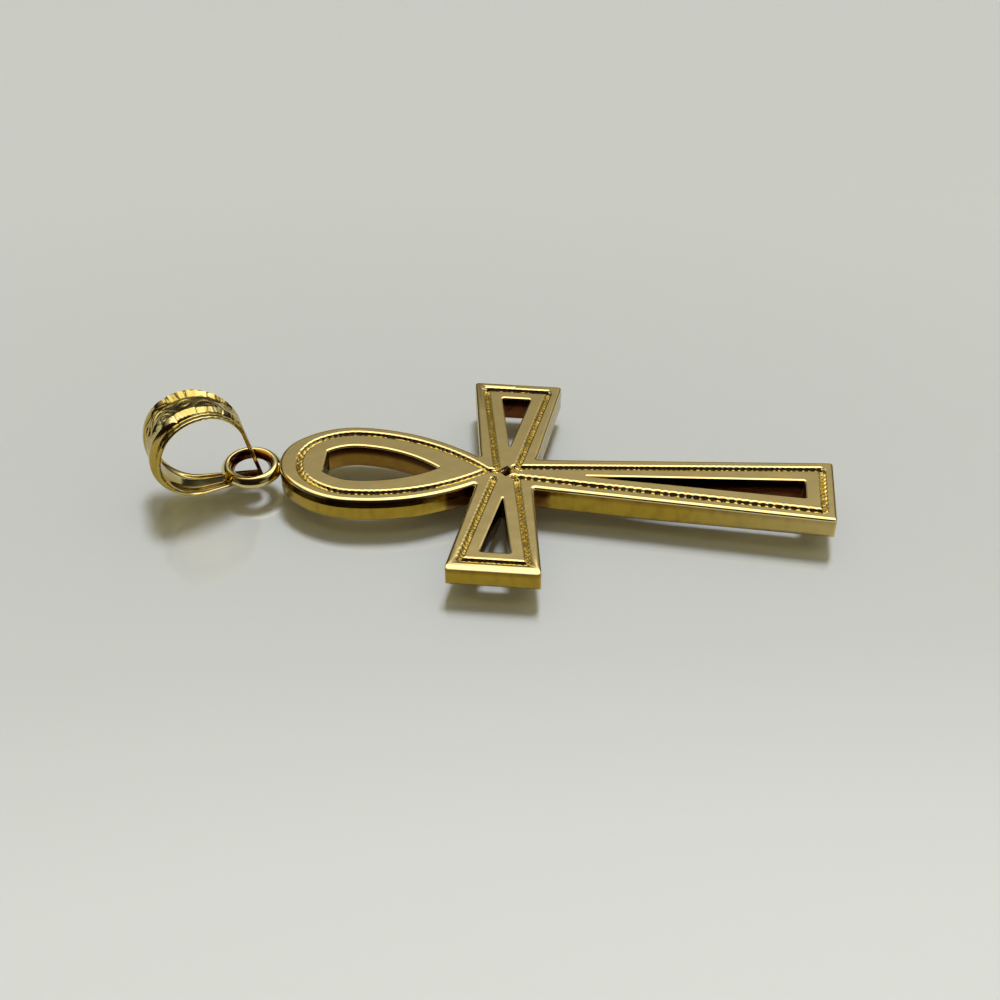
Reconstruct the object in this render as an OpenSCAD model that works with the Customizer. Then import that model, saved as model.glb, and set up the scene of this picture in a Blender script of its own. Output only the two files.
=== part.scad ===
// Ankh pendant lying face up: a pierced and grooved plate with a soldered ring,
// and a leaf shaped bail that passes loosely through the ring.
// The back of the plate lies in the plane Z = 0 and the crossing centre is the origin.
// The stem points to +X, and the loop, the ring and the bail lie towards -X.

/* [Plate] */
// Thickness of the plate
plate_t = 1.5; // [1.2:0.1:2.4]
// Crossing centre to the end of the stem
stem_reach = 17.6; // [14:0.1:24]
// Width of the stem at its end
stem_end_w = 4.8; // [4.4:0.1:6]
// Width that the sides of the stem would have at the crossing centre
stem_root_w = 2.2; // [1.8:0.1:3]
// Crossing centre to the end of an arm
arm_reach = 7.8; // [6.6:0.1:10]
// Width of an arm at its end
arm_end_w = 5; // [4.6:0.1:6.4]
// Width that the sides of an arm would have at the crossing centre
arm_root_w = 2.76; // [2.4:0.1:3.4]
// Radius of the outer corners of the arms and of the stem
corner_r = 0.2; // [0.1:0.05:0.5]

/* [Loop] */
// Crossing centre to the outer end of the loop
loop_reach = 12.36; // [11:0.1:15]
// Widest width of the loop
loop_w = 6.24; // [5.8:0.1:8]
// Crossing centre to the widest place of the loop
loop_belly = 8.2; // [7.4:0.1:9]
// Width of the loop where it meets the arms
loop_neck_w = 2.2; // [1.8:0.1:2.8]
// Radius of the loop's outer end as a share of half its width
loop_nose_share = 0.77; // [0.6:0.01:0.9]

/* [Grooves] */
// Width of the grooves in the face
groove_w = 0.34; // [0.2:0.02:0.5]
// Depth of the grooves
groove_d = 0.26; // [0.1:0.02:0.5]
// Plain rim outside the grooves at the sides and ends
rim_w = 0.46; // [0.3:0.02:0.7]
// Plain rim outside the groove at the loop's outer end
loop_end_rim_w = 0.9; // [0.5:0.05:1.1]
// Half the spacing of an arm's two grooves at the crossing centre
arm_groove_root = 0.5; // [0.4:0.02:0.6]
// Half the spacing of the stem's two grooves at the crossing centre
stem_groove_root = 0.36; // [0.3:0.02:0.45]
// Crossing centre to the place where the loop's two grooves meet
loop_groove_tip = 1.04; // [0.9:0.02:1.4]
// Crossing centre to the field between an arm's grooves
arm_field_start = 0.4; // [0.3:0.02:0.6]
// Crossing centre to the field between the stem's grooves
stem_field_start = 0.62; // [0.5:0.02:0.9]
// Depth of the pit at the crossing centre
pit_d = 0.5; // [0.3:0.05:0.8]

/* [Openings] */
// Crossing centre to the point of an arm's opening
arm_open_start = 2.15; // [1.8:0.05:3]
// Metal beside an arm's opening at its wide end
arm_band_w = 1.5; // [1.2:0.05:1.8]
// Metal past the wide end of an arm's opening
arm_end_band_w = 1.35; // [1.1:0.05:1.8]
// Crossing centre to the point of the stem's opening
stem_open_start = 4.2; // [3.4:0.1:6]
// Metal beside the stem's opening at its wide end
stem_band_w = 1.58; // [1.3:0.05:1.8]
// Metal past the wide end of the stem's opening
stem_end_band_w = 1.57; // [1.2:0.05:2]
// Metal beside the loop's opening at its widest place
loop_band_w = 1.67; // [1.4:0.05:2]
// Metal between the loop's outer end and its opening
loop_end_band_w = 2.46; // [2:0.05:2.8]
// Crossing centre to the point of the loop's opening
loop_open_start = 3.65; // [3.2:0.05:4.5]
// Width of the blunt end of the loop's opening
loop_open_end_w = 1.7; // [1.2:0.05:2]

/* [Ring] */
// Diameter of the ring's wire
wire_d = 0.46; // [0.4:0.02:0.6]
// Diameter of the ring measured to the middle of its wire
ring_mid_d = 2.9; // [2.7:0.05:3.6]
// Length by which the ring is sunk into the loop's end
solder_lap = 0.12; // [0.1:0.01:0.2]
// Diameter of the solder joint between the ring and the loop
solder_d = 0.6; // [0.5:0.02:0.8]

/* [Bail] */
// Diameter of the bail's round inside
bail_bore_d = 4.62; // [4:0.05:6]
// Middle of the round inside to the sharp inner corner at the ring
bail_corner_reach = 3.78; // [3.5:0.05:4.2]
// Thickness of the bail's strip
bail_t = 0.2; // [0.15:0.01:0.25]
// Width of the strip at the inner corner
bail_tip_w = 0.8; // [0.6:0.02:1]
// Width of the strip at the end away from the ring
bail_far_w = 4; // [3:0.05:5]
// Inner corner to the blunt end of the closed strip
bail_tip_lap = 0.2; // [0.1:0.02:0.24]
// Plain edge of the strip outside its two ridges, at the end away from the ring
bail_edge_w = 0.56; // [0.4:0.02:0.8]
// Width of a ridge
ridge_w = 0.4; // [0.2:0.02:0.5]
// Height of the ridges at the end away from the ring
ridge_h = 0.4; // [0.2:0.02:0.5]
// Height of the ridges where the strip rests on the surface
ridge_low_h = 0.05; // [0.04:0.01:0.12]

/* [How the bail lies] */
// Lean of the bail's long axis above the surface
bail_lean = 38.5; // [34:0.5:42]
// Turn of the bail on the surface away from the line of the stem
bail_turn = 23; // [0:1:30]
// Sideways lean of the bail
bail_roll = 10; // [0:1:12]
// Inner corner of the bail to the foot of the ring's wire
bail_slack = 1.7; // [1.5:0.05:1.9]
// Smallest gap between the ring's wire and the strip under it
bail_gap = 0.05; // [0.03:0.01:0.1]

/* [Hidden] */
gold = [0.80, 0.64, 0.28];
// Flats along one arc of an outline, and sides of a full circle
arc_steps = 9;
round_sides = 64;
past = 1;

// Half widths and slopes of the plate's limbs
stem_root = stem_root_w / 2;
stem_slope = (stem_end_w / 2 - stem_root) / stem_reach;
arm_root = arm_root_w / 2;
arm_slope = (arm_end_w / 2 - arm_root) / arm_reach;
loop_half = loop_w / 2;
loop_nose_r = loop_half * loop_nose_share;
// The loop's sides run into the crossing where the arms' sides pass
neck_x = arm_root + arm_slope * loop_neck_w / 2;
neck_drop = loop_half - loop_neck_w / 2;
loop_side_r = (pow(loop_belly - neck_x, 2) + pow(neck_drop, 2)) / (2 * neck_drop);

// Middle line of the grooves
groove_side = rim_w + groove_w / 2;
stem_groove_end = stem_reach - groove_side;
stem_groove_half = stem_root + stem_slope * stem_groove_end - groove_side;
stem_groove_slope = (stem_groove_half - stem_groove_root) / stem_groove_end;
arm_groove_end = arm_reach - groove_side;
arm_groove_half = arm_root + arm_slope * arm_groove_end - groove_side;
arm_groove_slope = (arm_groove_half - arm_groove_root) / arm_groove_end;
loop_groove_half = loop_half - groove_side;
loop_groove_end = loop_reach - loop_end_rim_w - groove_w / 2;
loop_groove_nose_r = loop_groove_half * (1 + loop_nose_share) / 2;
loop_groove_span = loop_belly - loop_groove_tip;
loop_groove_side_r = (pow(loop_groove_span, 2) + pow(loop_groove_half, 2)) / (2 * loop_groove_half);

// Openings
arm_open_end = arm_reach - arm_end_band_w;
arm_open_half = arm_root + arm_slope * arm_open_end - arm_band_w;
stem_open_end = stem_reach - stem_end_band_w;
stem_open_half = stem_root + stem_slope * stem_open_end - stem_band_w;
loop_open_half = loop_half - loop_band_w;
loop_open_end = loop_reach - loop_end_band_w;
loop_open_span = loop_belly - loop_open_start;
loop_open_side_r = (pow(loop_open_span, 2) + pow(loop_open_half, 2)) / (2 * loop_open_half);
loop_open_drop = loop_open_half - loop_open_end_w / 2;
loop_open_back = loop_open_end - loop_belly;
loop_open_end_r = (pow(loop_open_back, 2) + pow(loop_open_drop, 2)) / (2 * loop_open_drop);

// Bail in its own plane: X runs along its long axis and its round inside is centred
bore_r = bail_bore_d / 2;
half_angle = asin(bore_r / bail_corner_reach);
bail_axis_len = bail_corner_reach + bore_r;
width_slope = (bail_far_w - bail_tip_w) / bail_axis_len;
low_x = -bore_r * sin(bail_lean);
low_w = bail_tip_w + width_slope * (bail_corner_reach + low_x);
// The ridges stand on a round whose centre lies further out, so they fade to the tip
ridge_shift = (ridge_h - ridge_low_h) / (1 + sin(bail_lean));
ridge_r = bore_r + bail_t + ridge_h - ridge_shift;

// Place of the bail: its lower strip rests on the surface, but for a hair
rest_gap = 0.01;
wire_r = wire_d / 2;
ring_mid_r = ring_mid_d / 2;
rest_r = (bore_r + bail_t) * cos(bail_roll) + low_w / 2 * sin(bail_roll);
ridge_rest_r = (ridge_r - ridge_shift * sin(bail_lean)) * cos(bail_roll)
    + (low_w / 2 - bail_edge_w * low_w / bail_far_w) * sin(bail_roll);
bail_z = max(rest_r, ridge_rest_r) + rest_gap;
// The wire's foot on the lower strip, seen from the middle of the round inside
line_len = bail_corner_reach * cos(half_angle);
foot_back = line_len - bail_slack;
strip_angle = bail_lean - half_angle;
foot_a = -foot_back * cos(strip_angle) + bore_r * sin(strip_angle);
foot_q = -foot_back * sin(strip_angle) - bore_r * cos(strip_angle);
foot_w = bail_tip_w + width_slope * (bail_slack * cos(half_angle));
strip_top = bail_z + foot_q * cos(bail_roll) + foot_w / 2 * sin(bail_roll);
ring_z = strip_top + bail_gap + wire_r;
ring_x = -loop_reach - ring_mid_r - wire_r + solder_lap;
wire_q = (ring_z - bail_z) / cos(bail_roll);
bail_a = ring_mid_r - foot_a;
bail_side = wire_q * sin(bail_roll);

// Points of an arc, its two ends included
function arc(cx, cy, r, from, to) =
    [for (i = [0:arc_steps]) let (a = from + (to - from) * i / arc_steps)
        [cx + r * cos(a), cy + r * sin(a)]];

// The same points below the X axis, in the opposite order
function mirrored(points) =
    [for (i = [len(points) - 1:-1:0]) [points[i][0], -points[i][1]]];

// A limb that widens outwards from the origin along X, with rounded outer corners.
// grow moves its sides and its end outwards, and start is where it begins.
module limb(reach, root, slope, corner, grow = 0, start = 0) {
    stretch = sqrt(1 + slope * slope);
    end_x = reach + grow;
    half = root + grow * stretch;
    r = corner;
    corner_x = end_x - r;
    corner_y = half + slope * corner_x - r * stretch;
    upper = concat([[start, half + slope * start]], arc(corner_x, corner_y, r, 90 + atan(slope), 0));
    polygon(concat(upper, mirrored(upper)));
}

// A teardrop with its round end towards +X. Long arcs form its sides, an arc of
// shoulder_r joins them to the end, and tip_x is where the sides stop.
module teardrop(reach, belly, half, nose_r, side_r, tip_x, grow = 0) {
    nose_x = reach - nose_r;
    back = nose_x - belly;
    shoulder_r = (half * half - nose_r * nose_r + back * back) / (2 * (half - nose_r));
    nose_angle = atan2(shoulder_r - half, back);
    tip_angle = acos((tip_x - belly) / (side_r + grow));
    upper = concat(
        arc(belly, half - side_r, side_r + grow, tip_angle, 90),
        arc(belly, half - shoulder_r, shoulder_r + grow, 90, nose_angle),
        arc(nose_x, 0, nose_r + grow, nose_angle, 0));
    polygon(concat(upper, mirrored(upper)));
}

// Where the sides of a grown teardrop meet
function drop_tip(belly, half, side_r, grow) =
    belly - sqrt(pow(side_r + grow, 2) - pow(side_r - half, 2));

module both_arms() {
    for (turn = [90, -90])
        rotate(turn)
            children();
}

module plate_outline() {
    limb(stem_reach, stem_root, stem_slope, corner_r);
    both_arms()
        limb(arm_reach, arm_root, arm_slope, corner_r);
    rotate(180)
        teardrop(loop_reach, loop_belly, loop_half, loop_nose_r, loop_side_r, 0);
}

// The face inside the outer edge of the grooves, or between the grooves
module stem_cell(grow, start) {
    limb(stem_groove_end, stem_groove_root, stem_groove_slope, groove_w, grow, start);
}

module arm_cell(grow, start) {
    limb(arm_groove_end, arm_groove_root, arm_groove_slope, groove_w, grow, start);
}

module loop_cell(grow) {
    tip = drop_tip(loop_belly, loop_groove_half, loop_groove_side_r, grow);
    rotate(180)
        teardrop(loop_groove_end, loop_belly, loop_groove_half, loop_groove_nose_r,
            loop_groove_side_r, tip, grow);
}

module grooves() {
    linear_extrude(groove_d + past)
        difference() {
            union() {
                stem_cell(groove_w / 2, 0);
                both_arms()
                    arm_cell(groove_w / 2, 0);
                loop_cell(groove_w / 2);
                translate([-loop_groove_tip, -groove_w / 2])
                    square([loop_groove_tip, groove_w]);
            }
            stem_cell(-groove_w / 2, stem_field_start);
            both_arms()
                arm_cell(-groove_w / 2, arm_field_start);
            loop_cell(-groove_w / 2);
        }
}

// The small diamond shaped pit where the grooves meet
module pit() {
    linear_extrude(pit_d + past)
        polygon([[stem_groove_root, 0], [0, arm_field_start],
            [-stem_groove_root, 0], [0, -arm_field_start]]);
}

module pointed_opening(start, end, half) {
    polygon([[start, 0], [end, -half], [end, half]]);
}

module openings() {
    translate([0, 0, -past])
        linear_extrude(plate_t + 2 * past) {
            pointed_opening(stem_open_start, stem_open_end, stem_open_half);
            both_arms()
                pointed_opening(arm_open_start, arm_open_end, arm_open_half);
            rotate(180)
                loop_opening();
        }
}

// Teardrop with a blunt outer end
module loop_opening() {
    tip_angle = acos((loop_open_start - loop_belly) / loop_open_side_r);
    end_angle = acos(loop_open_back / loop_open_end_r);
    upper = concat(
        arc(loop_belly, loop_open_half - loop_open_side_r, loop_open_side_r, tip_angle, 90),
        arc(loop_belly, loop_open_half - loop_open_end_r, loop_open_end_r, 90, end_angle));
    polygon(concat(upper, mirrored(upper)));
}

module soldered_ring() {
    translate([ring_x, 0, ring_z])
        rotate_extrude($fn = round_sides)
            translate([ring_mid_r, 0])
                circle(d = wire_d, $fn = round_sides);
    translate([ring_x + ring_mid_r, 0, ring_z])
        rotate([0, 90, 0])
            cylinder(d = solder_d, h = wire_d + solder_lap, $fn = round_sides);
}

// Plate with the ring soldered to the end of its loop: one piece of metal
module ankh() {
    color(gold)
        union() {
            difference() {
                linear_extrude(plate_t)
                    plate_outline();
                translate([0, 0, plate_t - groove_d])
                    grooves();
                translate([0, 0, plate_t - pit_d])
                    pit();
                openings();
            }
            soldered_ring();
        }
}

// Outline of the bail's loop, grown outwards from its inside. The round part is
// centred shift beyond the middle, and corner_x is its sharp corner.
module bail_loop(r, shift, corner_x) {
    tangent = asin(r / (shift - corner_x));
    touch = [shift - r * sin(tangent), r * cos(tangent)];
    translate([shift, 0])
        circle(r, $fn = round_sides * 2);
    polygon([[corner_x, 0], [touch[0], -touch[1]], [shift, 0], touch]);
}

inner_corner = -bail_corner_reach;
outer_corner = inner_corner - bail_t / sin(half_angle);

// A slab that widens from the bail's tip to its far end, narrower by inset at the
// far end and in proportion towards the tip
module leaf(inset) {
    from = outer_corner;
    to = bore_r + bail_t + ridge_h + past;
    share = 1 - 2 * inset / bail_far_w;
    half_from = (bail_tip_w + width_slope * (from - inner_corner)) / 2 * share;
    half_to = (bail_tip_w + width_slope * (to - inner_corner)) / 2 * share;
    rotate([90, 0, 0])
        linear_extrude(2 * bail_axis_len, center = true)
            polygon([[from, -half_from], [to, -half_to], [to, half_to], [from, half_from]]);
}

module bail_prism() {
    linear_extrude(2 * bail_far_w, center = true)
        children();
}

module bail_strip() {
    intersection() {
        bail_prism()
            bail_loop(bore_r + bail_t, 0, outer_corner);
        leaf(0);
    }
}

module bail_ridges() {
    intersection() {
        bail_prism()
            bail_loop(ridge_r, ridge_shift, outer_corner);
        difference() {
            leaf(bail_edge_w);
            leaf(bail_edge_w + ridge_w);
        }
    }
}

// Leaf shaped strip bent into a closed loop, with two raised ridges on its outside
module bail() {
    color(gold)
        translate([ring_x, 0, bail_z])
            rotate([0, 0, 180 + bail_turn])
                translate([bail_a, bail_side, 0])
                    rotate([bail_roll, 0, 0])
                        rotate([90, 0, 0])
                            rotate([0, 0, bail_lean])
                                difference() {
                                    union() {
                                        bail_strip();
                                        bail_ridges();
                                    }
                                    bail_prism()
                                        bail_loop(bore_r, 0, inner_corner);
                                    translate([inner_corner - bail_tip_lap - past, 0, 0])
                                        cube([2 * past, bail_far_w, bail_far_w], center = true);
                                }
}

ankh();
bail();
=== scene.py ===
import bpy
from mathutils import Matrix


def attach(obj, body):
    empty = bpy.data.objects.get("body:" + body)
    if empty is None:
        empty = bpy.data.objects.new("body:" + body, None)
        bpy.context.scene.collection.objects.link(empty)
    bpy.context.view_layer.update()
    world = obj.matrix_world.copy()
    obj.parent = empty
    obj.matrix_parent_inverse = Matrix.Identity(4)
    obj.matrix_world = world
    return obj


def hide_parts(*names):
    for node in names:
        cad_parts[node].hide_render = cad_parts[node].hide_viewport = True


bl_info = {
    "name": "Ankh Pendant",
    "version": (1, 0, 0),
    "blender": (4, 5, 0),
    "location": "3D View > Sidebar > Ankh Pendant",
    "description": "Makes a pierced and grooved gold ankh with its soldered ring and leaf bail",
    "category": "Object",
}

import math
from types import SimpleNamespace

import bmesh
import bpy
import numpy as np
from mathutils import Matrix, Vector
from bpy.props import FloatProperty, FloatVectorProperty, PointerProperty
from bpy.types import Operator, Panel, PropertyGroup

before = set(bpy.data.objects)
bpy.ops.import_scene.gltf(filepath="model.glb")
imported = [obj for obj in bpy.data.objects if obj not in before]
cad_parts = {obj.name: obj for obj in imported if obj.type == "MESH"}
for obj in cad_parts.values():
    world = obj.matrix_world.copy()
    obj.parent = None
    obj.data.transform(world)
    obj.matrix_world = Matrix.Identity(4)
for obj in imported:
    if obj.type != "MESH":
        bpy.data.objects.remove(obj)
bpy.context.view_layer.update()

MM = 0.001


def length(name, description, value, low, high):
    """A size that the user sees in the scene's own unit, given here in millimetres."""
    return FloatProperty(
        name=name, description=description, default=value * MM, min=low * MM, max=high * MM,
        precision=5, subtype="DISTANCE", unit="LENGTH",
    )


def colour(name, description, value):
    return FloatVectorProperty(
        name=name, description=description, default=value, min=0.0, max=1.0, size=3, subtype="COLOR",
    )


def angle(name, description, degrees):
    return FloatProperty(
        name=name, description=description, default=math.radians(degrees), subtype="ANGLE", unit="ROTATION",
    )


# Settings


class PlateSettings(PropertyGroup):
    """Sizes of the cast plate, measured from the crossing of stem and arms."""

    thickness: length("Thickness", "Thickness of the plate", 1.5, 1.2, 2.4)
    stem_reach: length("Stem reach", "Crossing to the end of the stem", 17.6, 14, 24)
    stem_end: length("Stem end width", "Width of the stem at its end", 4.8, 4.4, 6)
    stem_root: length("Stem root width", "Width that the stem's sides have at the crossing", 2.2, 1.8, 3)
    arm_reach: length("Arm reach", "Crossing to the end of an arm", 7.8, 6.6, 10)
    arm_end: length("Arm end width", "Width of an arm at its end", 5.0, 4.6, 6.4)
    arm_root: length("Arm root width", "Width that an arm's sides have at the crossing", 2.76, 2.4, 3.4)
    loop_reach: length("Loop reach", "Crossing to the outer end of the loop", 12.36, 11, 15)
    loop_width: length("Loop width", "Widest width of the loop", 6.24, 5.8, 8)
    loop_belly: length("Loop belly", "Crossing to the widest place of the loop", 8.2, 7.4, 9)
    loop_neck: length("Loop neck width", "Width of the loop where it meets the arms", 2.2, 1.8, 2.8)
    corner: length("Corner radius", "Radius of the outer corners of the stem and the arms", 0.2, 0.1, 0.5)
    edge: length("Edge rounding", "Width of the rounded edge round the face", 0.185, 0.05, 0.19)
    bulge: length("Bulge", "Length by which the loop's near side swells out at its middle", 0.2, 0.0, 0.3)


class OpeningSettings(PropertyGroup):
    """Sizes of the four openings."""

    stem_start: length("Stem opening start", "Crossing to the point of the stem's opening", 4.2, 3.4, 6)
    stem_half: length("Stem opening half width", "Half the width of the stem's opening", 0.704, 0.4, 1)
    stem_band: length("Stem end band", "Metal past the stem's opening", 1.57, 1.2, 2)
    arm_start: length("Arm opening start", "Crossing to the point of an arm's opening", 2.15, 1.8, 3)
    arm_half: length("Arm opening half width", "Half the width of an arm's opening", 0.806, 0.5, 1.1)
    arm_band: length("Arm end band", "Metal past an arm's opening", 1.35, 1.1, 1.8)
    loop_start: length("Loop opening start", "Crossing to the point of the loop's opening", 3.65, 3.2, 4.5)
    loop_half: length("Loop half width", "Half the widest width of the loop's opening", 1.45, 1.1, 1.8)
    loop_blunt: length("Blunt end", "Half the width of the blunt end of the loop's opening", 0.85, 0.6, 1)
    loop_band: length("Loop end band", "Metal past the loop's opening", 2.46, 2, 2.8)


class GrooveSettings(PropertyGroup):
    """Sizes of the cut grooves, of the pit and of the lips beside grooves and openings."""

    width: length("Groove width", "Width of a groove between its lips", 0.28, 0.2, 0.5)
    depth: length("Groove depth", "Depth of a groove below the face", 0.26, 0.1, 0.5)
    lip: length("Lip", "Width of the shallow lip beside a groove or an opening", 0.11, 0.02, 0.14)
    rim: length("Rim", "Plain rim outside a groove", 0.63, 0.4, 0.9)
    pit: length("Pit depth", "Depth of the pit where the grooves meet", 0.5, 0.2, 0.8)


class RingSettings(PropertyGroup):
    """Sizes of the ring that is soldered to the loop."""

    middle: length("Ring diameter", "Diameter to the middle of the band", 2.63, 2.2, 4)
    width: length("Width", "Width of the ring's band, seen from above", 0.66, 0.3, 0.8)
    skirt: length("Skirt", "Length by which the band's foot stands out on both sides", 0.16, 0.0, 0.3)
    oval: FloatProperty(
        name="Oval", description="Width of the oval ring across the pendant, as a share of its length",
        default=0.9, min=0.7, max=1.0,
    )
    tall: length("Height of the band", "Height of the ring's band", 0.6, 0.3, 0.8)
    tilt: angle("Tilt", "Tilt of the ring's near side downwards", 4)
    lift: angle("Lift", "Tilt of the ring's outer side upwards, from the loop to the strip", -1)
    height: length("Height", "Middle of the band above the surface", 0.86, 0.5, 1.2)
    aside: length("Aside", "Middle of the ring beside the middle of the loop", 0.12, 0.0, 0.3)
    lap: length("Lap", "Length by which the ring is sunk into the loop", 0.03, 0.0, 0.3)


class BailSettings(PropertyGroup):
    """Sizes of the leaf shaped bail."""

    bore: length("Inside diameter", "Diameter of the bail's round inside", 4.62, 4, 6)
    corner: length("Corner reach", "Middle of the round inside to the corner at the ring", 3.78, 3.5, 4.2)
    strip: length("Strip", "Thickness of the strip", 0.2, 0.1, 0.3)
    tip_width: length("Tip width", "Width of the strip at the corner", 0.8, 0.5, 1.2)
    far_width: length("Far width", "Width of the strip at the far end", 4.0, 3, 5)
    flange: length("Flange", "Plain edge outside the ridges at the far end", 0.56, 0.3, 0.9)
    ridge: length("Ridge width", "Width of a ridge at the far end", 0.4, 0.2, 0.6)
    ridge_height: length("Ridge height", "Height of a ridge at the far end", 0.4, 0.1, 0.5)
    ridge_low: length("Low ridge height", "Height of a ridge where the strip rests", 0.05, 0.0, 0.2)
    tip_lap: length("Tip", "Corner to the blunt end of the strip", 0.2, 0.05, 0.3)


class FinishSettings(PropertyGroup):
    """Colours of the metal and of the stage."""

    gold: colour("Gold", "Colour of the polished gold", (0.94, 0.72, 0.29))
    # Deep gold is partly the cast sides' own colour and partly painted shade on them; it is also the colour
    # of the tarnish, and of the painted shade on the bail's flanks
    gold_deep: colour("Deep gold", "Colour of the gold on the cast sides", (0.46, 0.31, 0.035))
    gold_cut: colour("Cut gold", "Colour of the gold just below the face", (0.84, 0.72, 0.36))
    gold_groove: colour("Groove gold", "Colour of the gold on the floors of the grooves", (0.66, 0.52, 0.17))
    gold_shade: colour("Shaded gold", "Colour of the gold where walls face each other", (0.16, 0.05, 0.014))
    gold_bail: colour("Bail gold", "Colour of the gold of ring and bail", (0.84, 0.69, 0.29))
    ground: colour("Ground", "Colour of the pale ground", (0.66, 0.67, 0.64))


class StageSettings(PropertyGroup):
    """Camera and stage."""

    azimuth: angle("Azimuth", "Camera's turn round the pendant", 5.29)
    elevation: angle("Elevation", "Camera's angle above the ground", 41.0)
    distance: length("Distance", "Camera's depth to the crossing of the face", 93.8, 40, 400)
    lens: FloatProperty(
        name="Lens", description="Focal length on a 36 mm sensor, in millimetres",
        default=62.584, min=20, max=200,
    )
    clear: length("Clear layer", "Thickness of the clear layer over the pale ground", 1.1, 0.0, 3.0)
    mirror: length("Mirror", "Depth of the faint reflection below the surface", 0.42, 0.01, 1.0)


# Drawing helpers, in millimetres


def in_mm(settings):
    """The settings as plain numbers, with their lengths in millimetres."""
    sizes = SimpleNamespace()
    for key in settings.__annotations__:
        unit = MM if settings.bl_rna.properties[key].unit == "LENGTH" else 1
        setattr(sizes, key, getattr(settings, key) / unit)
    return sizes


def start_fresh():
    """Leaves edit mode and deselects everything."""
    if bpy.context.object and bpy.context.object.mode != "OBJECT":
        bpy.ops.object.mode_set(mode="OBJECT")
    bpy.ops.object.select_all(action="DESELECT")


def take(piece):
    start_fresh()
    piece.select_set(True)
    bpy.context.view_layer.objects.active = piece


def spots_of(piece):
    return np.array([vert.co for vert in piece.data.vertices])


def moved(spots, matrix):
    return (np.column_stack([spots, np.ones(len(spots))]) @ np.array(matrix).T)[:, :3]


def mark(piece, name, values):
    """Writes one number for each point, which a finish reads."""
    layer = piece.data.attributes.new(name, "FLOAT", "POINT")
    layer.data.foreach_set("value", values.astype(np.float32))


def coat(piece, finish):
    piece.data.materials.clear()
    piece.data.materials.append(finish)


def extruded(name, rows):
    """A closed solid: a circle's points are set on the first row and filled, and the face is then
    extruded from row to row."""
    start_fresh()
    bpy.ops.mesh.primitive_circle_add(vertices=len(rows[0]), radius=1)
    piece = bpy.context.object
    piece.name = piece.data.name = name
    piece.data.vertices.foreach_set("co", np.asarray(rows[0], float).reshape(-1))
    order = piece.data.attributes.new("order", "INT", "POINT")
    order.data.foreach_set("value", np.arange(len(rows[0])))
    bpy.ops.object.mode_set(mode="EDIT")
    bpy.ops.mesh.select_all(action="SELECT")
    bpy.ops.mesh.edge_face_add()
    for row in rows[1:]:
        bpy.ops.mesh.extrude_region_move()
        shape = bmesh.from_edit_mesh(piece.data)
        place = shape.verts.layers.int["order"]
        for vert in shape.verts:
            if vert.select:
                vert.co = row[vert[place]]
        bmesh.update_edit_mesh(piece.data)
    bpy.ops.mesh.select_all(action="SELECT")
    bpy.ops.mesh.normals_make_consistent(inside=False)
    bpy.ops.object.mode_set(mode="OBJECT")
    piece.data.attributes.remove(piece.data.attributes["order"])
    return piece


def stacked(name, outline, levels):
    """A solid from one closed outline and a list of (height, offset), lowest first. The offset
    moves the outline outwards and is a number, or one number for each point."""
    points, outward = outline
    rows = []
    for height, offset in levels:
        at = points + outward * np.reshape(offset, (-1, 1))
        rows.append(np.column_stack([at, np.full(len(at), float(height))]))
    return extruded(name, rows)


def swept(name, rows):
    """A closed solid from a grid whose points are moved to the given cross-sections, one section
    to a row, each ending on the point it starts with. The jagged and cut surfaces need it."""
    rows = np.asarray(rows, float)
    count, around = rows.shape[:2]
    start_fresh()
    bpy.ops.mesh.primitive_grid_add(x_subdivisions=around - 1, y_subdivisions=count - 1, size=1)
    piece = bpy.context.object
    piece.name = piece.data.name = name
    piece.data.vertices.foreach_set("co", rows.reshape(-1))
    piece.data.update()
    bpy.ops.object.mode_set(mode="EDIT")
    bpy.ops.mesh.select_all(action="SELECT")
    bpy.ops.mesh.remove_doubles(threshold=1e-6)
    bpy.ops.mesh.select_mode(type="EDGE")
    bpy.ops.mesh.select_all(action="DESELECT")
    bpy.ops.mesh.select_non_manifold()
    bpy.ops.mesh.fill_holes(sides=0)
    bpy.ops.mesh.select_all(action="SELECT")
    bpy.ops.mesh.normals_make_consistent(inside=False)
    bpy.ops.mesh.select_mode(type="VERT")
    bpy.ops.object.mode_set(mode="OBJECT")
    return piece


def cut(piece, cutter, how="DIFFERENCE"):
    """Takes the cutter out of the piece, or joins it on where how is UNION."""
    take(piece)
    bpy.ops.object.modifier_add(type="BOOLEAN")
    tool = piece.modifiers[-1]
    tool.operation = how
    tool.solver = "EXACT"
    tool.object = cutter
    bpy.ops.object.modifier_apply(modifier=tool.name)
    bpy.data.objects.remove(cutter, do_unlink=True)


def merge(piece, other):
    """Joins another closed solid onto the piece."""
    cut(piece, other, "UNION")


def to_metres(piece, matrix=None):
    """Brings a piece from millimetres to its place in metres, with its place in its mesh."""
    take(piece)
    piece.matrix_world = Matrix.Scale(MM, 4) @ (matrix or Matrix())
    bpy.ops.object.transform_apply(location=True, rotation=True, scale=True)


def arc(cx, cy, r, start, end, steps):
    angles = np.radians(np.linspace(start, end, steps + 1))
    return np.column_stack([cx + r * np.cos(angles), cy + r * np.sin(angles)])


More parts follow.
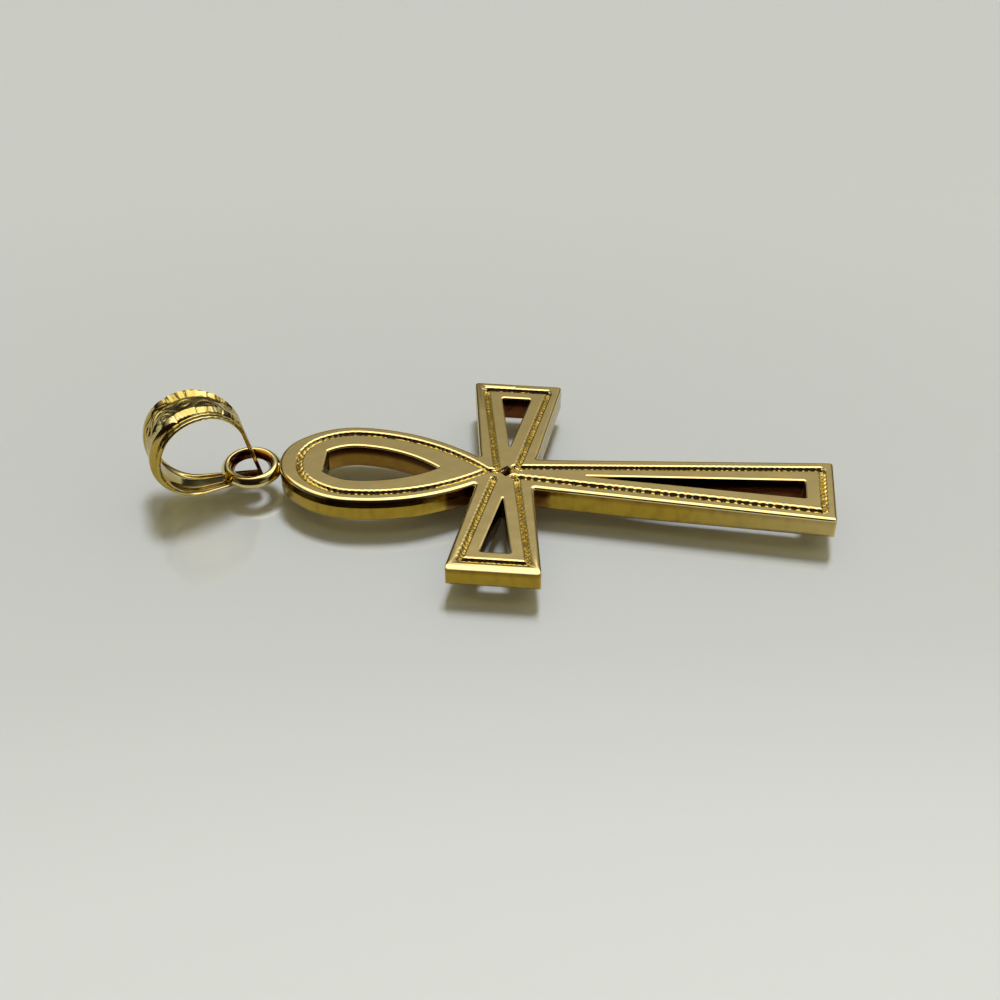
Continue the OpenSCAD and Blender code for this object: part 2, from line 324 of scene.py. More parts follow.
def rounded(corners, step=0.3, turns=6):
    """A closed outline from (x, y, radius) corners, with points about a step apart, and the
    outward direction at each point. The corners run anticlockwise."""
    corners = np.asarray(corners, float)
    path = []
    for i, (x, y, r) in enumerate(corners):
        here = np.array([x, y])
        back = corners[i - 1, :2] - here
        ahead = corners[(i + 1) % len(corners), :2] - here
        if r <= 0:
            path.append(here)
            continue
        back /= np.linalg.norm(back)
        ahead /= np.linalg.norm(ahead)
        half = math.acos(np.clip(back @ ahead, -1, 1)) / 2
        middle = back + ahead
        centre = here + middle / np.linalg.norm(middle) * r / math.sin(half)
        first = here + back * r / math.tan(half) - centre
        last = here + ahead * r / math.tan(half) - centre
        a = math.atan2(first[1], first[0])
        sweep = math.atan2(last[1], last[0]) - a
        sweep = (sweep + math.pi) % (2 * math.pi) - math.pi
        for k in range(turns + 1):
            b = a + sweep * k / turns
            path.append(centre + r * np.array([math.cos(b), math.sin(b)]))
    path = np.array(path)
    full = []
    for here, there in zip(path, np.roll(path, -1, axis=0)):
        n = max(1, int(round(np.linalg.norm(there - here) / step)))
        full += [here + (there - here) * k / n for k in range(n)]
    return facing_out(np.array(full))


def facing_out(points):
    """Points of an anticlockwise outline with the outward direction at each, longer at corners."""
    ahead = np.roll(points, -1, axis=0) - points
    ahead /= np.linalg.norm(ahead, axis=1)[:, None]
    normal = np.column_stack([ahead[:, 1], -ahead[:, 0]])
    before = np.roll(normal, 1, axis=0)
    share = 1 + (normal * before).sum(axis=1)
    return points, (normal + before) / np.maximum(share, 0.4)[:, None]


def both_sides(upper):
    """An anticlockwise outline from its half above the X axis, which runs from +X to -X."""
    upper = np.asarray(upper, float)
    lower = upper[::-1] * [1, -1, 1]
    return np.vstack([upper, lower[np.abs(lower[:, 1]) > 1e-9]])


def plain(points):
    """Points with no corner radius."""
    return np.column_stack([points, np.zeros(len(points))])


def smooth_step(x, low, high):
    t = np.clip((np.asarray(x, float) - low) / (high - low), 0, 1)
    return t * t * (3 - 2 * t)


def bell(x, width):
    return np.exp(-((x / width) ** 2))


def bites(s, pitch, seed, spread=0.25):
    """A row of bites of uneven length along s: 0 at each cusp and 1 at the middle of a bite."""
    rng = np.random.default_rng(seed)
    count = int(np.max(s) / pitch * 1.5) + 8
    edges = np.concatenate([[0], np.cumsum(pitch * (1 + spread * (2 * rng.random(count) - 1)))])
    k = np.clip(np.searchsorted(edges, s, side="right") - 1, 0, count - 1)
    u = (s - edges[k]) / (edges[k + 1] - edges[k])
    return 4 * u * (1 - u), k, u


def uneven(s, pitch, seed):
    """Smooth noise between -1 and 1 along s."""
    rng = np.random.default_rng(seed)
    knots = 2 * rng.random(int(np.max(s) / pitch) + 4) - 1
    return np.interp(np.asarray(s) / pitch, np.arange(len(knots)), knots)


# Plate


# Radius of the loop's round end and of its groove's, as shares of their half widths
LOOP_NOSE, GROOVE_NOSE = 0.77, 0.885
# Corner radii: where two limbs meet, at an opening's blunt end and at its point
LIMB_CORNER, BLUNT_CORNER, LOOP_BLUNT_CORNER = 0.09, 0.1, 0.14
STEM_POINT, ARM_POINT, LOOP_POINT = 0.01, 0.012, 0.03
# Bends of the lip beside a groove or an opening, below the face
HIGH_BEND, MIDDLE_BEND, LOW_BEND = 0.022, 0.04, 0.07
# Where a cutting tool ends, above the face and outside its lip
TOOL_RISE, TOOL_FLARE = 0.05, 0.12
# A groove with beads up to this height has a narrow, sharp floor
FINE_BEAD = 0.02
# The plate's walls stay this far inside the CAD's
WALL_GAP = 0.002
# Profile of the lip round the face: inwards in widths of the edge, and down from the face
FACE_LIP = ((0.0, 0.15), (0.05, 0.105), (0.18, 0.068), (0.4, 0.038), (0.7, 0.013), (1.0, 0.0))
# Profile of the near arm's soft lip: inwards from the arm's end, and up from the face
SOFT_LIP = ((0.36, 0.012), (0.22, -0.022), (0.11, -0.07), (-0.01, -0.15), (-0.1, -0.22), (-0.1, 0.1),
            (0.36, 0.1))
# From past one corner of the near arm's end to past the other
ARM_END_SPAN = (-3.2, 3.2)
# Where the stem's near lower edge starts to round under and where it stops, each with its size
STEM_EDGE = ((5.0, 0.1), (18.2, 1.05))
# Half length and half width of the pit at the crossing
PIT_LONG, PIT_WIDE = 0.44, 0.42
# Points this near to an outline are on its wall: in an opening, outside, and outside low down,
# where the wall rounds under
NEAR_OPENING, NEAR_OUTSIDE, NEAR_LOW = 0.16, 0.3, 0.6
# Small lumps of metal beside the pit: x, y and radius
LUMPS = ((-0.66, -0.05, 0.13), (-0.5, -0.2, 0.09), (0.56, 0.2, 0.13), (0.78, 0.1, 0.09), (0.4, -0.33, 0.08))


class Plan:
    """The plate's outlines, worked out from its settings, in millimetres."""

    def __init__(self, plate, groove, opening):
        self.opening = opening
        self.t, self.bulge = plate.thickness, plate.bulge
        self.corner, self.edge, self.rim = plate.corner, plate.edge, groove.rim
        self.stem_reach = plate.stem_reach
        self.stem_root = plate.stem_root / 2
        self.stem_slope = (plate.stem_end / 2 - self.stem_root) / self.stem_reach
        self.arm_reach = plate.arm_reach
        self.arm_root = plate.arm_root / 2
        self.arm_slope = (plate.arm_end / 2 - self.arm_root) / self.arm_reach
        self.reach = plate.loop_reach
        self.half = plate.loop_width / 2
        self.belly = plate.loop_belly
        self.neck = plate.loop_neck / 2
        self.neck_x = self.arm_root + self.arm_slope * self.neck
        self.side_r = self.side_arc(self.belly - self.neck_x, self.half - self.neck)

    @staticmethod
    def side_arc(run, drop):
        return (run * run + drop * drop) / (2 * drop)

    def drop_points(self, reach, half, nose_share, side_r, end_angle, steps):
        """Upper half of a teardrop with its round end at -X, from its side to its end."""
        nose_r = half * nose_share
        nose_x = reach - nose_r
        back = nose_x - self.belly
        shoulder_r = (half * half - nose_r * nose_r + back * back) / (2 * (half - nose_r))
        turn = math.degrees(math.atan2(shoulder_r - half, back))
        side = arc(-self.belly, half - side_r, side_r, end_angle, 90, steps)
        shoulder = arc(-self.belly, half - shoulder_r, shoulder_r, 90, 180 - turn, steps // 2)
        nose = arc(-nose_x, 0, nose_r, 180 - turn, 180, steps // 2)
        return np.vstack([side, shoulder[1:], nose[1:]])

    def outline(self):
        crossing_y = self.stem_root + self.stem_slope * self.arm_root
        crossing_y /= 1 - self.stem_slope * self.arm_slope
        crossing_x = self.arm_root + self.arm_slope * crossing_y
        start = math.degrees(math.acos((self.belly - self.neck_x) / self.side_r))
        drop = self.drop_points(self.reach, self.half, LOOP_NOSE, self.side_r, start, 30)
        arm_end = self.arm_root + self.arm_slope * self.arm_reach
        stem_end = self.stem_root + self.stem_slope * self.stem_reach
        upper = np.vstack([
            [[self.stem_reach, stem_end, self.corner],
             [crossing_x, crossing_y, LIMB_CORNER],
             [arm_end, self.arm_reach, self.corner],
             [-arm_end, self.arm_reach, self.corner],
             [-self.neck_x, self.neck, LIMB_CORNER]],
            plain(drop[3:]),
        ])
        return rounded(both_sides(upper))

    def stem_opening(self):
        sizes = self.opening
        end = self.stem_reach - sizes.stem_band
        corners = both_sides([[end, sizes.stem_half, BLUNT_CORNER], [sizes.stem_start, 0, STEM_POINT]])
        return rounded(corners, step=0.25, turns=5)

    def arm_opening(self, side):
        sizes = self.opening
        half, end = sizes.arm_half, self.arm_reach - sizes.arm_band
        corners = [[0, sizes.arm_start, ARM_POINT], [half, end, BLUNT_CORNER], [-half, end, BLUNT_CORNER]]
        return rounded(np.array(corners) * [side, side, 1], step=0.25, turns=5)

    def loop_opening(self):
        sizes = self.opening
        half, start = sizes.loop_half, sizes.loop_start
        end = self.reach - sizes.loop_band
        side_r = self.side_arc(self.belly - start, half)
        end_r = self.side_arc(end - self.belly, half - sizes.loop_blunt)
        tip = math.degrees(math.acos((self.belly - start) / side_r))
        far = math.degrees(math.asin((end - self.belly) / end_r))
        side = arc(-self.belly, half - side_r, side_r, tip, 90, 24)
        back = arc(-self.belly, half - end_r, end_r, 90, 90 + far, 8)
        upper = plain(np.vstack([side, back[1:]]))
        upper[-1, 2] = LOOP_BLUNT_CORNER
        upper[0, 1:] = 0, LOOP_POINT
        return rounded(both_sides(upper), step=0.25, turns=5)

    def openings(self):
        """The stem's, the far arm's, the near arm's and the loop's."""
        return self.stem_opening(), self.arm_opening(1), self.arm_opening(-1), self.loop_opening()

    def limb_strokes(self, reach, root, slope, groove_root, start):
        """Middle lines of a limb's three strokes along X: its two sides and its end."""
        end = reach - self.rim
        half = root + slope * end - self.rim
        near = groove_root + (half - groove_root) * start / end
        over = 0.12
        return [np.array([[start, near], [end + over, half + over * (half - near) / end]]),
                np.array([[start, -near], [end + over, -half - over * (half - near) / end]]),
                np.array([[end, -half - over], [end, half + over]])]

    def loop_strokes(self):
        """Middle lines of the loop's strokes: the short one at the crossing and the two halves."""
        half = self.half - self.rim
        tip, end_rim, over = 1.04, 1.07, 0.12
        side_r = self.side_arc(self.belly - tip, half)
        start = math.degrees(math.acos((self.belly - tip) / side_r))
        upper = self.drop_points(self.reach - end_rim, half, GROOVE_NOSE, side_r, start, 26)
        lead = upper[0] - over * (upper[1] - upper[0]) / np.linalg.norm(upper[1] - upper[0])
        path = np.vstack([[lead], upper, [[end_rim - self.reach, -0.15]]])
        return [np.array([[-0.3, 0.0], [-tip - 0.1, 0.0]]), path, path * [1, -1]]

    def strokes(self):
        """Every groove's middle line, with the height and pitch of its teeth and its beads' height."""
        strokes = [(path, 0.04, 0.34, FINE_BEAD) for path in self.loop_strokes()]
        stem = self.limb_strokes(self.stem_reach, self.stem_root, self.stem_slope, 0.36, 0.2)
        strokes += list(zip(stem, (0.035, 0.085, 0.05), (0.3, 0.43, 0.3), (FINE_BEAD, FINE_BEAD, 0.07)))
        for side, start in ((1, 0.15), (-1, 0.5)):
            arm = self.limb_strokes(self.arm_reach, self.arm_root, self.arm_slope, 0.5, start)
            strokes += [(np.column_stack([-path[:, 1], path[:, 0]]) * side, 0.02, 0.31, bead)
                        for path, bead in zip(arm, (0.05, 0.05, FINE_BEAD))]
        return strokes


def along(path, step):
    """Points evenly spaced on an open path, with their sideways directions and distances."""
    path = np.asarray(path, float)
    piece = np.linalg.norm(np.diff(path, axis=0), axis=1)
    s = np.concatenate([[0], np.cumsum(piece)])
    at = np.linspace(0, s[-1], int(s[-1] / step) + 1)
    points = np.column_stack([np.interp(at, s, path[:, 0]), np.interp(at, s, path[:, 1])])
    ahead = np.gradient(points, axis=0)
    ahead /= np.linalg.norm(ahead, axis=1)[:, None]
    return points, np.column_stack([-ahead[:, 1], ahead[:, 0]]), at


def groove_tool(path, top, groove, seed, tooth, pitch, bead):
    """The tool that cuts one groove: a long channel with rounded lips, jagged walls and a
    grained floor. It is narrower and shallower at both ends."""
    half, depth, lip = groove.width / 2, groove.depth, groove.lip
    points, sideways, s = along(path, 0.055)
    grain, _, _ = bites(s, 0.19, seed + 4, spread=0.5)
    roll = uneven(s, 0.33, seed + 5)
    open_share = 0.45 + 0.55 * smooth_step(np.minimum(s, s[-1] - s), 0.0, 0.16)
    # From the face down: distance from the middle line, height, and share of the teeth
    rows = [(half + lip + TOOL_FLARE, TOOL_RISE, 0.2), (half + 0.45 * lip, -HIGH_BEND, 0.5),
            (half + 0.12 * lip, -MIDDLE_BEND, 0.8), (half, -LOW_BEND, 1.0)]
    if bead <= FINE_BEAD:
        rows += [(0.6 * half, -LOW_BEND - 0.4 * (depth - LOW_BEND), 0.8)]
    else:
        rows += [(0.72 * half, -0.5 * depth, 1.0), (0.4 * half, -0.85 * depth, 0.7)]
    walls = []
    for number, side in enumerate((-1, 1)):
        bite, _, _ = bites(s, pitch, seed + number)
        jag = tooth * (bite - 0.6) * (1 + 0.5 * uneven(s, 2.0, seed + 2 + number))
        wall = [(side * (x + share * jag) * open_share, z * (1 if z >= -LOW_BEND else open_share) + 0 * s)
                for x, z, share in rows]
        if bead > FINE_BEAD:
            floor = (-depth + bead * (0.5 * grain + 0.3 * roll)) * open_share
            wall.append((side * 0.1 * half * open_share, floor))
        walls.append(wall)
    middle = (0.01 * roll, (-depth + bead * (grain + 0.4 * roll)) * open_share)
    ring = [*walls[0], middle, *walls[1][::-1], walls[0][0]]
    return swept("groove", np.stack([
        np.column_stack([points + sideways * np.reshape(x, (-1, 1)), top + z]) for x, z in ring
    ], axis=1))


def opening_tool(outline, t, lip):
    """The tool that pierces the plate, flared at both faces so that the edges come out round."""
    return stacked("opening", outline, [
        (-0.2, 0.22), (-0.01, 0.09), (0.03, 0.03), (0.09, 0.0), (t * 0.5, 0.0), (t - lip, 0.0),
        (t - LOW_BEND, 0.01), (t - MIDDLE_BEND, 0.15 * lip), (t - HIGH_BEND, 0.5 * lip),
        (t + TOOL_RISE, lip + TOOL_FLARE),
    ])


def pit_tool(t, depth):
    """The tool for the pit, which narrows towards its middle, so that its points stand for their
    own outward directions."""
    corners = [[PIT_LONG, 0.0], [0.0, PIT_WIDE], [-PIT_LONG, 0.0], [0.0, -PIT_WIDE]]
    pit, _ = rounded([(x, y, 0.04) for x, y in corners], step=0.1)
    return stacked("pit", (pit, pit), [
        (t - depth, -0.9), (t - 0.5 * depth, -0.42), (t - 0.05, 0.0), (t - 0.015, 0.05), (t + TOOL_RISE, 0.2),
    ])


def soft_lip_tool(plan):
    """The tool that slopes the near arm's end down from the face in a wide soft lip."""
    edge, t = -plan.arm_reach, plan.t
    return extruded("soft_lip", [[(x, edge + inward, t + up) for inward, up in SOFT_LIP]
                                 for x in ARM_END_SPAN])


def lower_edge_tool(ends):
    """The tool that rounds a near lower edge under. Each end is its x, the edge's y and a size."""
    rows = []
    past, steep = 0.3, 2.43
    for x, edge, size in ends:
        inner = 0.36 * size + 0.14
        profile = [(-past, 0.3 * size + steep * (past + 0.05 * size)), (0.05 * size, 0.3 * size),
                   (0.2 * size, 0.13 * size), (0.36 * size, 0.02 * size), (inner, 0.02 * size - 0.07),
                   (inner, -past), (-past, -past)]
        rows.append([(x, edge + inward, up) for inward, up in profile])
    return extruded("lower_edge", rows)


def plate_blank(plan):
    """The plate before it is cut: cast sides, a wide shallow lip round the face and a softer one
    round the back. The near walls swell out below the face, most of all on the loop, and not at
    the ends of arm and stem, which reach the CAD's box."""
    points, outward = plan.outline()
    t, edge = plan.t, plan.edge
    on_loop = smooth_step(-points[:, 0], 2.2, 5.0)
    wave = -0.006 + 0.006 * np.sin(points[:, 0] * 1.9 + points[:, 1])
    near = smooth_step(-outward[:, 1], 0.2, 0.95)
    off_arm_end = 1 - smooth_step(np.abs(points[:, 1]), 7.2, 7.6)
    off_stem_end = 1 - smooth_step(points[:, 0], 16.8, 17.3)
    swell = near * (plan.bulge * on_loop + 0.05 * (1 - on_loop) * off_arm_end * off_stem_end)
    levels = [(0.0, -0.15), (0.02, -0.1), (0.06, -0.05), (0.13, -0.012)]
    levels += [(0.22, wave + 0.55 * swell), (0.5, wave + 0.8 * swell), (0.8, -WALL_GAP + 0.95 * swell)]
    for drop, share in ((0.46, 1.0), (0.42, 1.0), (0.34, 0.72), (0.26, 0.44), (0.18, 0.18)):
        levels.append((t - drop, -WALL_GAP + share * swell))
    lip_drop = FACE_LIP[0][1]
    for inward, drop in FACE_LIP:
        levels.append((t - drop, -WALL_GAP - inward * edge + 0.1 * swell * min(1, drop / lip_drop)))
    return stacked("plate", (points, outward), levels)


def add_lump(piece, x, y, z, radius):
    start_fresh()
    bpy.ops.mesh.primitive_ico_sphere_add(subdivisions=3, radius=radius, location=(x, y, z))
    lump = bpy.context.object
    lump.scale = (1.25, 0.8, 0.75)
    bpy.ops.object.transform_apply(location=True, rotation=True, scale=True)
    merge(piece, lump)


def make_plate(plan, groove):
    """The plate in millimetres, with its edges rounded, pierced, grooved and cleaned."""
    t = plan.t
    piece = plate_blank(plan)
    cut(piece, soft_lip_tool(plan))
    cut(piece, lower_edge_tool([(x, -plan.arm_reach, 1.0) for x in ARM_END_SPAN]))
    cut(piece, lower_edge_tool([(x, -plan.stem_root - plan.stem_slope * x, size) for x, size in STEM_EDGE]))
    for outline in plan.openings():
        cut(piece, opening_tool(outline, t, groove.lip))
    cut(piece, pit_tool(t, groove.pit))
    for number, (path, tooth, pitch, bead) in enumerate(plan.strokes()):
        cut(piece, groove_tool(path, t, groove, 10 + 7 * number, tooth, pitch, bead))
    for x, y, radius in LUMPS:
        add_lump(piece, x, y, t - 0.03, radius)
    take(piece)
    bpy.ops.object.mode_set(mode="EDIT")
    bpy.ops.mesh.select_all(action="SELECT")
    bpy.ops.mesh.dissolve_degenerate(threshold=2e-4)
    bpy.ops.mesh.remove_doubles(threshold=2e-4)
    bpy.ops.object.mode_set(mode="OBJECT")
    return piece


def finish_edges(piece, angle):
    """Smooth shading that keeps the flat faces flat."""
    take(piece)
    bpy.ops.object.shade_smooth_by_angle(angle=math.radians(angle))
    bpy.ops.object.modifier_add(type="WEIGHTED_NORMAL")
    tool = piece.modifiers[-1]
    tool.keep_sharp = True
    tool.weight = 80
    bpy.ops.object.modifier_apply(modifier=tool.name)


def nearest(x, y, points):
    """Distance of each x, y to the nearest of the points, where that is less than 9."""
    near = np.full(len(x), 9.0)
    for point in points:
        near = np.minimum(near, np.hypot(x - point[0], y - point[1]))
    return near


def mark_walls(piece, plan):
    """Writes which points belong to the cast walls and not to the cut grooves, and how deep in
    shade they stand: in the openings, and at the roots of loop and stem, where walls face each
    other."""
    x, y, z = (spots_of(piece) / MM).T
    shade = np.zeros(len(x))
    for (outline, _), amount in zip(plan.openings(), (1.0, 1.0, 0.9, 0.62)):
        amount = amount + (1 - amount) * smooth_step(z, 0.5 * plan.t + 0.1, plan.t - 0.25)
        shade = np.maximum(shade, amount * (nearest(x, y, outline) < NEAR_OPENING))
    wall = shade > 0
    points, _ = plan.outline()
    ahead = np.roll(points, -1, axis=0) - points
    near = nearest(x, y, np.vstack([points + part * ahead for part in (0.0, 0.33, 0.67)]))
    pit = np.abs(x) / PIT_LONG + np.abs(y) / PIT_WIDE < 1.15
    outside = near < np.where(z < 0.6, NEAR_LOW, NEAR_OUTSIDE)
    mark(piece, "wall", np.maximum(np.maximum(wall, outside), pit))
    # The roots of loop and stem, on both sides of the arms
    across = np.abs(y) < 2.0
    neck = plan.neck_x
    loop_root = smooth_step(x, -neck - 2.2, -neck - 1.9) * (x < -1.3) * across
    stem_root = (1 - smooth_step(x, neck + 0.75, neck + 0.95)) * (x > 1.3) * across
    shade = np.maximum(np.maximum(shade, pit), np.maximum(0.85 * loop_root, 0.8 * stem_root))
    mark(piece, "shade", shade * smooth_step(plan.t - z, 0.04, 0.09))


class PENDANT_OT_plate(Operator):
    """Make the cast plate with its openings and its cut grooves"""

    bl_idname = "pendant.plate"
    bl_label = "Make Plate"

    def execute(self, context):
        scene = context.scene
        groove = in_mm(scene.pendant_groove)
        plan = Plan(in_mm(scene.pendant_plate), groove, in_mm(scene.pendant_opening))
        piece = make_plate(plan, groove)
        to_metres(piece)
        mark_walls(piece, plan)
        finish_edges(piece, angle=29)
        coat(piece, cast_gold(scene.pendant_finish, scene.pendant_plate))
        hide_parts("ankh")
        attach(piece, "root")
        return {"FINISHED"}


# Ring


# The solder from the ring to the loop: distance past the middle of the band, and radius
SOLDER = ((-0.05, 0.16), (0.05, 0.25), (0.12, 0.26), (0.2, 0.26), (0.28, 0.28), (0.34, 0.33), (0.4, 0.41))


def pressed(value):
    """The sine or cosine of a round wire's section, pressed towards a square."""
    return np.sign(value) * np.abs(value) ** 0.8


def make_ring(ring, loop_reach):
    """The ring and its solder in millimetres. The round wire is pressed to an oval band with
    sloping sides, which lies a little tilted."""
    wide, tall, middle = ring.width / 2, ring.tall / 2, ring.middle / 2
    height = ring.height
    centre = -loop_reach - middle - wide + ring.lap
    start_fresh()
    bpy.ops.mesh.primitive_torus_add(
        location=(centre, 0, height), major_radius=middle, minor_radius=wide,
        major_segments=120, minor_segments=32,
    )
    piece = bpy.context.object
    piece.name = piece.data.name = "soldered_ring"
    bpy.ops.object.transform_apply(location=True, rotation=True, scale=True)
    x, y, z = spots_of(piece).T
    around = np.arctan2(y, x - centre)
    out = np.hypot(x - centre, y) - middle
    section = np.arctan2(z - height, out)
    over, up = pressed(np.cos(section)), pressed(np.sin(section))
    dent = 1 + 0.03 * np.sin(3 * around + 0.6)
    out = middle + wide * over * dent - ring.skirt * up * over
    band = np.column_stack([centre + out * np.cos(around), ring.oval * out * np.sin(around) - ring.aside,
                            height + tall * up])
    pivot = Vector((centre, 0, height))
    lie = (Matrix.Translation(pivot) @ Matrix.Rotation(ring.tilt, 4, "X")
           @ Matrix.Rotation(ring.lift, 4, "Y") @ Matrix.Translation(-pivot))
    piece.data.vertices.foreach_set("co", moved(band, lie).reshape(-1))
    piece.data.update()
    turn = np.linspace(0, 2 * math.pi, 33)[:-1]
    merge(piece, extruded("solder", [
        np.column_stack([np.full(len(turn), centre + middle + past), r * np.cos(turn),
                         height + 0.02 + 0.9 * r * np.sin(turn)]) for past, r in SOLDER
    ]))
    # The inside of the ring faces itself and stands in shade
    x, y, z = moved(spots_of(piece), np.linalg.inv(np.array(lie))).T
    inward = (middle - np.hypot(x - centre, (y + ring.aside) / ring.oval)) / wide
    below_top = (height + 0.8 * tall - z) / tall
    mark(piece, "shade", smooth_step(inward, 0.15, 0.5) * smooth_step(below_top, 0.0, 0.3))
    return piece


class PENDANT_OT_ring(Operator):
    """Make the ring and the solder that joins it to the loop"""

    bl_idname = "pendant.ring"
    bl_label = "Make Ring"

    def execute(self, context):
        scene = context.scene
        piece = make_ring(in_mm(scene.pendant_ring), scene.pendant_plate.loop_reach / MM)
        to_metres(piece)
        finish_edges(piece, angle=40)
        coat(piece, polished_gold("ring_gold", scene.pendant_finish, roughness=0.07, ripple=0.25, darkening=0.08))
        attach(piece, "root")
        return {"FINISHED"}


# Bail


# Where along the strip the facets start, past its far end, and where they have their full height
FACETS_START, FACETS_FULL = 8.5, 9.4
# Radius of the strip's outer edges
STRIP_EDGE = 0.09
# How the bail lies, as in the part's source: its turn, its roll and its lean in degrees
BAIL_TURN, BAIL_ROLL, BAIL_LEAN = 23, 10, 38.5
# The ring's middle along the stem's line, and the middle of the bail's round inside out from it,
# beside it and above the surface
RING_MIDDLE, BAIL_OUT, BAIL_ASIDE, BAIL_HEIGHT = -13.92, 2.70844, -0.33189, 2.6582


class Strip:
    """The bent strip in its own plane, in millimetres: X runs along the bail's long axis, its
    round inside is centred, and s runs from the corner along the lower side and round."""

    def __init__(self, bail):
        self.r = bail.bore / 2
        self.reach = bail.corner
        self.t = bail.strip
        self.half_angle = math.asin(self.r / self.reach)
        self.line = self.reach * math.cos(self.half_angle)
        self.turn = math.pi + 2 * self.half_angle
        self.total = 2 * self.line + self.r * self.turn
        self.tip_width = bail.tip_width
        self.far_width = bail.far_width
        self.slope = (self.far_width - self.tip_width) / (self.reach + self.r)
        self.shift = (bail.ridge_height - bail.ridge_low) / (1 + math.sin(math.radians(BAIL_LEAN)))
        self.ridge_r = self.r + self.t + bail.ridge_height - self.shift
        self.flange = bail.flange
        self.ridge = bail.ridge
        self.tip_lap = bail.tip_lap

    def place(self, s, h):
        """Points at distance s along the inside and h above it."""
        a = self.half_angle
        s, h = np.broadcast_arrays(np.asarray(s, float), np.asarray(h, float))
        turned = np.clip((s - self.line) / self.r, 0, self.turn) - math.pi / 2 - a
        x = (self.r + h) * np.cos(turned)
        y = (self.r + h) * np.sin(turned)
        before = np.minimum(s - self.line, 0)
        after = np.maximum(s - self.line - self.r * self.turn, 0)
        x = x + before * math.cos(a) - after * math.cos(a)
        y = y - before * math.sin(a) - after * math.sin(a)
        return x, y

    def width(self, x):
        return self.tip_width + self.slope * (x + self.reach)

    def ridge_height(self, x, y):
        """Height of the ridge's round above the strip, where the strip's point lies at x, y."""
        away = np.arctan2(y, x)
        r = self.shift * np.cos(away) + np.sqrt(self.ridge_r ** 2 - (self.shift * np.sin(away)) ** 2)
        fade = smooth_step(x, -3.0, -1.2)
        return np.maximum(r - np.hypot(x, y), 0.0) * fade


def scroll_cuts(s, w, band):
    """Depth from 0 to 1 of the cut scroll between the ridges, at s along and w across: a running
    wave with a ring and a dot in each of its bends, and leaves past each ring."""
    period, line = 2.3, 0.05
    cuts = bell(w - 0.42 * band * np.sin(2 * math.pi * s / period), line)
    for k in range(int(np.max(s) / period * 2) + 2):
        side = -1 if k % 2 else 1
        at = (k + 0.5) * period / 2 + 0.08
        centre = -side * 0.34 * band
        reach = np.hypot(s - at, w - centre)
        cuts = np.maximum(cuts, bell(reach - 0.30, line))
        cuts = np.maximum(cuts, 0.9 * bell(reach, 0.11))
        for leaf in (-0.5, 0.0, 0.5):
            ahead = s - at - 0.35 - leaf * 0.35
            beside = w + centre * 1.6
            u = ahead * 0.8 + beside * side * 0.6
            v = -ahead * 0.6 * side + beside * 0.8
            cuts = np.maximum(cuts, 0.8 * np.exp(-((u / 0.16) ** 2) - ((v / line) ** 2)))
    return cuts


def ridge_profile(s, q, seed, pitch, low):
    """Height share of a ridge that is cut in bright facets. q runs from 0 at the ridge's near edge
    to 1 at its far edge, and the facets rise away from the viewer, each with its own tilt."""
    _, k, u = bites(s, pitch, seed, spread=0.55)
    rng = np.random.default_rng(seed + 7)
    rise = 0.85 + 0.2 * rng.random(k.max() + 2)
    twist = 2 * rng.random(k.max() + 2) - 1
    plane = low + (0.95 - low) * rise[k] * q + 0.10 * twist[k] * (u - 0.5)
    plane = plane + 0.03 * np.sin(23.0 * s) * np.sin(9.0 * s + 4.0 * q)
    gap = bell(u, 0.035) + bell(1 - u, 0.035)
    return np.clip(plane - 0.22 * gap, 0.05, 1.0)


